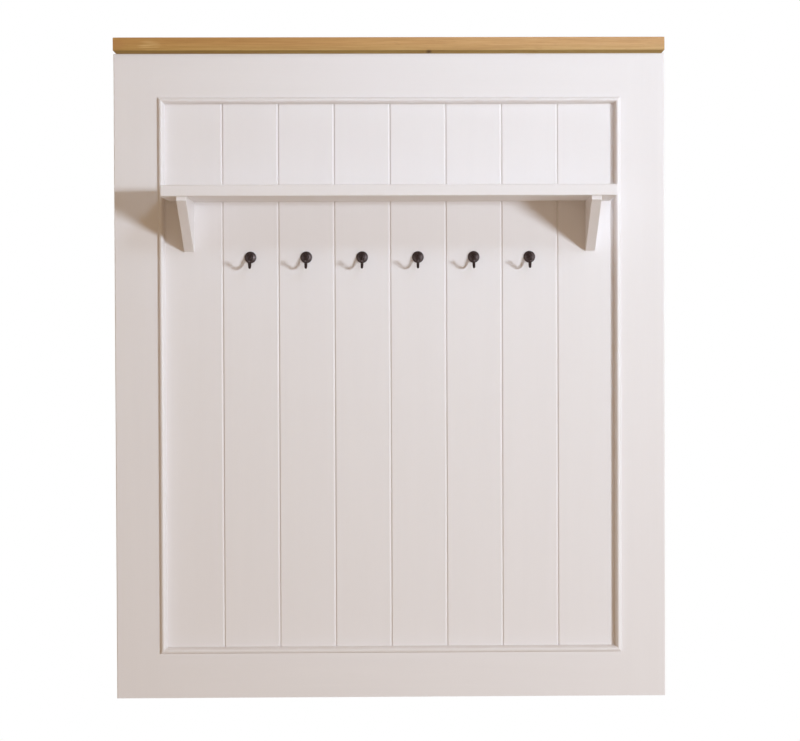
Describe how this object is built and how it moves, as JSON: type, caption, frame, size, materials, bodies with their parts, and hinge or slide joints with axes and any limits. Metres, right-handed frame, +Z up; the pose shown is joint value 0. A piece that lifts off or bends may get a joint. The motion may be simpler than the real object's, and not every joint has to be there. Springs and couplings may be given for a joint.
{
  "type": "wall coat rack",
  "caption": "Painted plank-panel wall coat rack with a bracketed shelf, an oak cap and a row of metal J-hooks.",
  "frame": {"origin": "on the wall plane, at the middle of the rack's width, level with its lower edge", "axes": "X across the rack, +Y into the wall so that the front faces -Y, +Z up"},
  "size_m": [1, 0.2, 1.2],
  "materials": {
    "painted_wood": "satin off-white paint",
    "oak": "matt lacquered oak",
    "bare_pine": "sawn pine, unpainted",
    "beech": "plain beech",
    "dark_bronze": "dark bronze patina, satin",
    "zinc_steel": "zinc plated"
  },
  "bodies": {
    "root": {"back_board": "bare_pine", "bottom_batten": "bare_pine", "bottom_batten_screws": "zinc_steel", "bottom_rail": "painted_wood", "bracket_dowels": "beech", "bracket_screws": "zinc_steel", "cap_dowels": "beech", "cleat_screws": "zinc_steel", "frame_cleat": "bare_pine", "hook_prong_1": "dark_bronze", "hook_prong_2": "dark_bronze", "hook_prong_3": "dark_bronze", "hook_prong_4": "dark_bronze", "hook_prong_5": "dark_bronze", "hook_prong_6": "dark_bronze", "hook_rosette_1": "dark_bronze", "hook_rosette_2": "dark_bronze", "hook_rosette_3": "dark_bronze", "hook_rosette_4": "dark_bronze", "hook_rosette_5": "dark_bronze", "hook_rosette_6": "dark_bronze", "left_bracket": "painted_wood", "left_stile": "painted_wood", "mid_batten": "bare_pine", "moulding_bottom": "painted_wood", "moulding_left": "painted_wood", "moulding_right": "painted_wood", "moulding_top": "painted_wood", "oak_cap": "oak", "plank_1": "painted_wood", "plank_2": "painted_wood", "plank_3": "painted_wood", "plank_4": "painted_wood", "plank_5": "painted_wood", "plank_6": "painted_wood", "plank_7": "painted_wood", "plank_8": "painted_wood", "right_bracket": "painted_wood", "right_stile": "painted_wood", "shelf": "painted_wood", "shelf_screws": "zinc_steel", "top_rail": "painted_wood", "wall_cleat": "bare_pine"}
  },
  "joints": []
}
